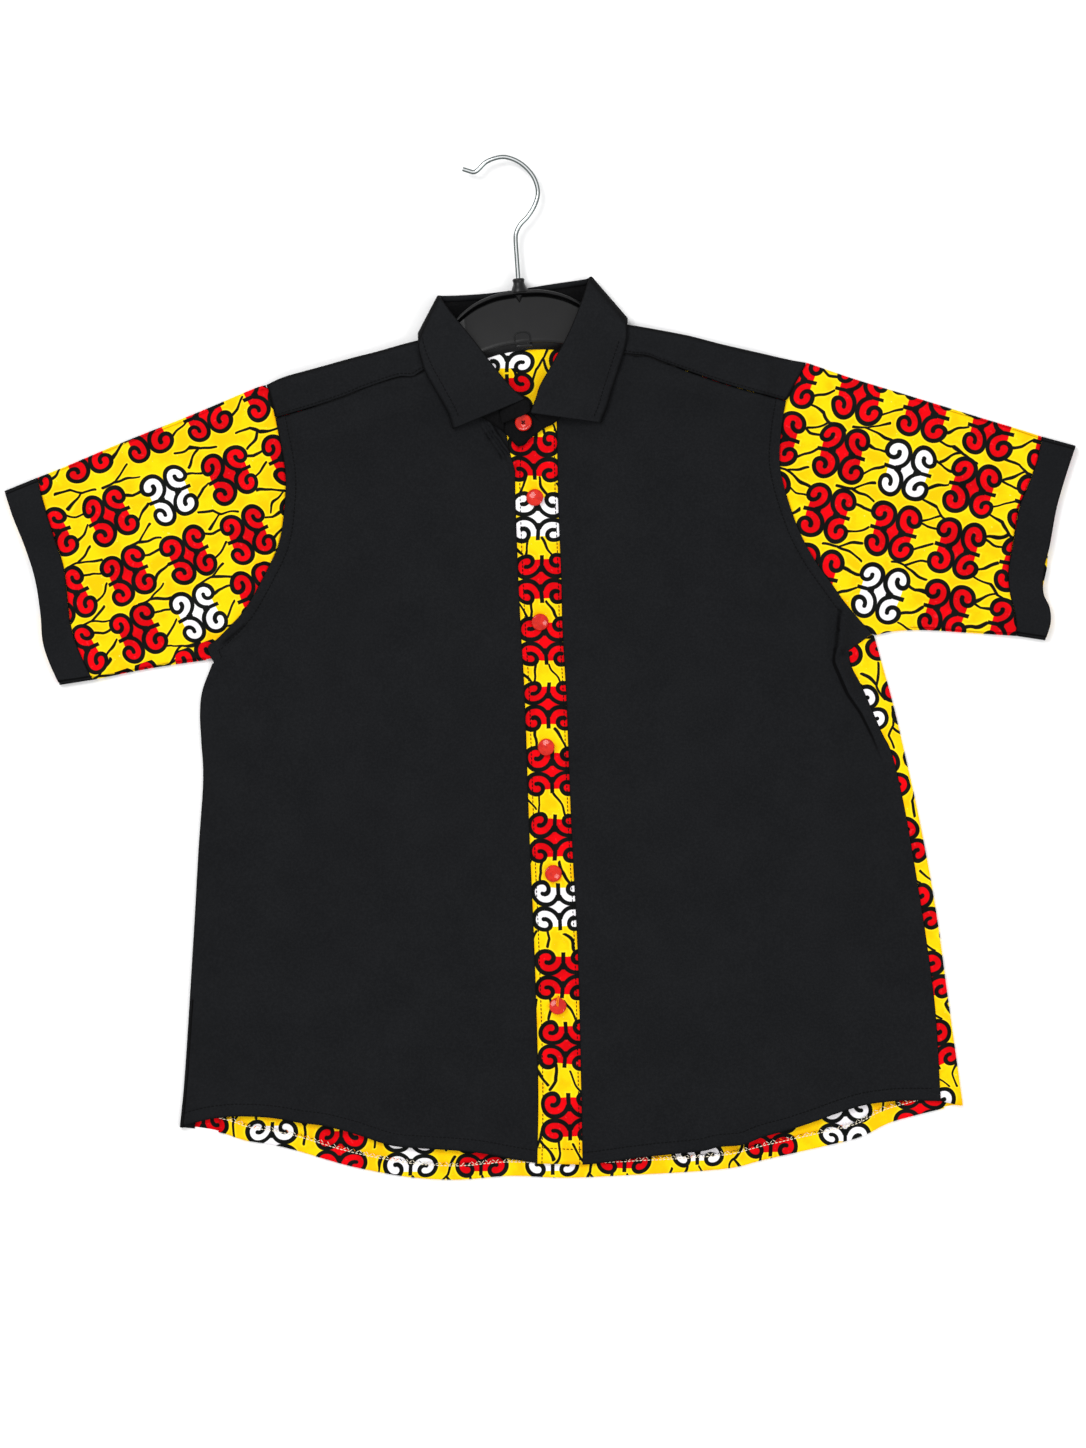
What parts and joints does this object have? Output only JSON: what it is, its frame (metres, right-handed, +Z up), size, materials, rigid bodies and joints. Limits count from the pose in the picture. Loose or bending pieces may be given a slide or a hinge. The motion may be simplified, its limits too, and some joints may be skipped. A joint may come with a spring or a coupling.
{
  "type": "african print shirt on a clothes hanger",
  "caption": "Child's short-sleeved collared shirt with plain black fronts and bold printed sleeves, placket and back, buttoned on a moulded hanger and laid flat.",
  "frame": {"origin": "on the surface the shirt lies on, under the middle of its outline", "axes": "+Z up from the surface, +Y from the hem to the collar and hook, +X to the side where the back panel wraps on to the front"},
  "size_m": [0.7135, 0.6824, 0.018],
  "materials": {
    "black_cotton": "matt plain-woven cotton",
    "print_cotton": "matt wax-printed cotton",
    "red_button": "polished resin",
    "black_plastic": "moulded satin",
    "chromed_wire": "polished"
  },
  "bodies": {
    "root": {"front_left": "black_cotton", "front_right": "black_cotton", "back": "print_cotton", "yoke": "black_cotton", "yoke_facing": "print_cotton", "placket": "print_cotton", "placket_under": "print_cotton", "sleeve_left": "print_cotton", "sleeve_right": "print_cotton", "cuff_left": "black_cotton", "cuff_right": "black_cotton", "cuff_facing_left": "print_cotton", "cuff_facing_right": "print_cotton", "collar_stand": "black_cotton", "collar_leaf": "black_cotton", "button_collar": "red_button", "button_1": "red_button", "button_2": "red_button", "button_3": "red_button", "button_4": "red_button", "button_5": "red_button", "hanger": "black_plastic", "hanger_hook": "chromed_wire"}
  },
  "joints": []
}
